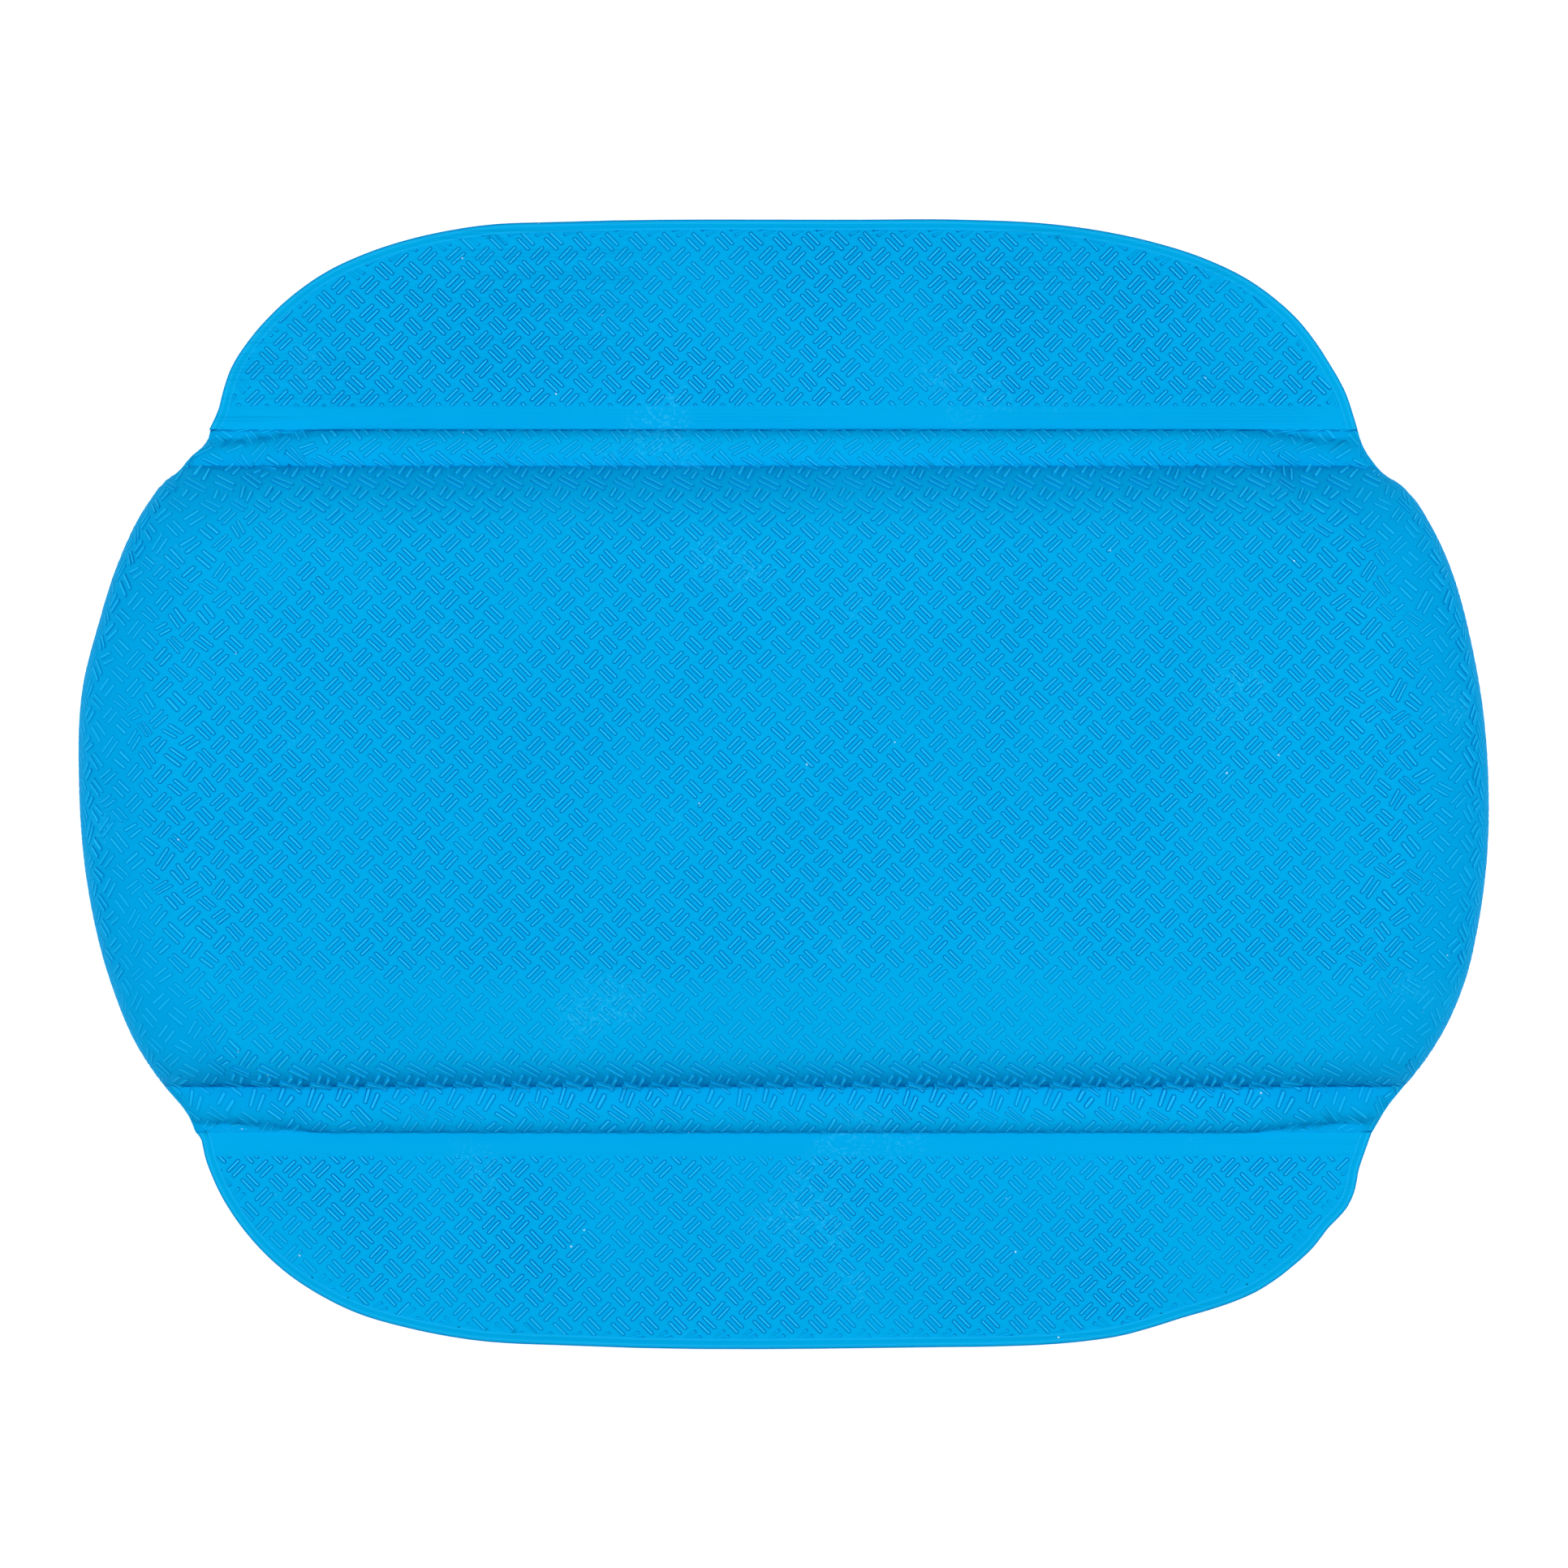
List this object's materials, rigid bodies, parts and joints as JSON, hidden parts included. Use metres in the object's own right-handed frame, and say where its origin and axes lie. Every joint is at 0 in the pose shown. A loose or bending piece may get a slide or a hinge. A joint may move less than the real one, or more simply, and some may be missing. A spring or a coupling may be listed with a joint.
{
  "type": "bath pillow",
  "caption": "Moulded bath pillow: thick stepped foam pad in a basket-weave embossed vinyl cover, with flat folding flaps along its long sides and suction cups beneath.",
  "frame": {"origin": "on the plane the suction cups stand on, under the middle of the outline", "axes": "+X along the pad's length, +Y from the lower flap to the upper flap, +Z out of the embossed face"},
  "size_m": [0.35, 0.2805, 0.037],
  "materials": {
    "embossed_vinyl": "satin",
    "back_vinyl": "matt",
    "foam": "open-cell foam",
    "cup_vinyl": "clear gloss"
  },
  "bodies": {
    "pad": {"pad_cover": "embossed_vinyl", "foam_crown": "foam", "foam_base": "foam", "pad_back": "back_vinyl"},
    "upper_flap": {"upper_flap_skin": "embossed_vinyl", "upper_flap_backing": "back_vinyl", "upper_suction_cup_1": "cup_vinyl", "upper_suction_cup_2": "cup_vinyl", "upper_suction_cup_3": "cup_vinyl", "upper_suction_cup_4": "cup_vinyl"},
    "lower_flap": {"lower_flap_skin": "embossed_vinyl", "lower_flap_backing": "back_vinyl", "lower_suction_cup_1": "cup_vinyl", "lower_suction_cup_2": "cup_vinyl", "lower_suction_cup_3": "cup_vinyl", "lower_suction_cup_4": "cup_vinyl"}
  },
  "joints": [
    {"name": "upper_flap_fold", "type": "hinge", "parent": "pad", "child": "upper_flap", "pos_m": [0, 0.0908, 0.014], "axis": [1, 0, 0], "range_deg": [-75, 75], "stiffness_Nm_per_rad": 0.4},
    {"name": "lower_flap_fold", "type": "hinge", "parent": "pad", "child": "lower_flap", "pos_m": [0, -0.0894, 0.014], "axis": [-1, 0, 0], "range_deg": [-75, 75], "stiffness_Nm_per_rad": 0.4}
  ]
}
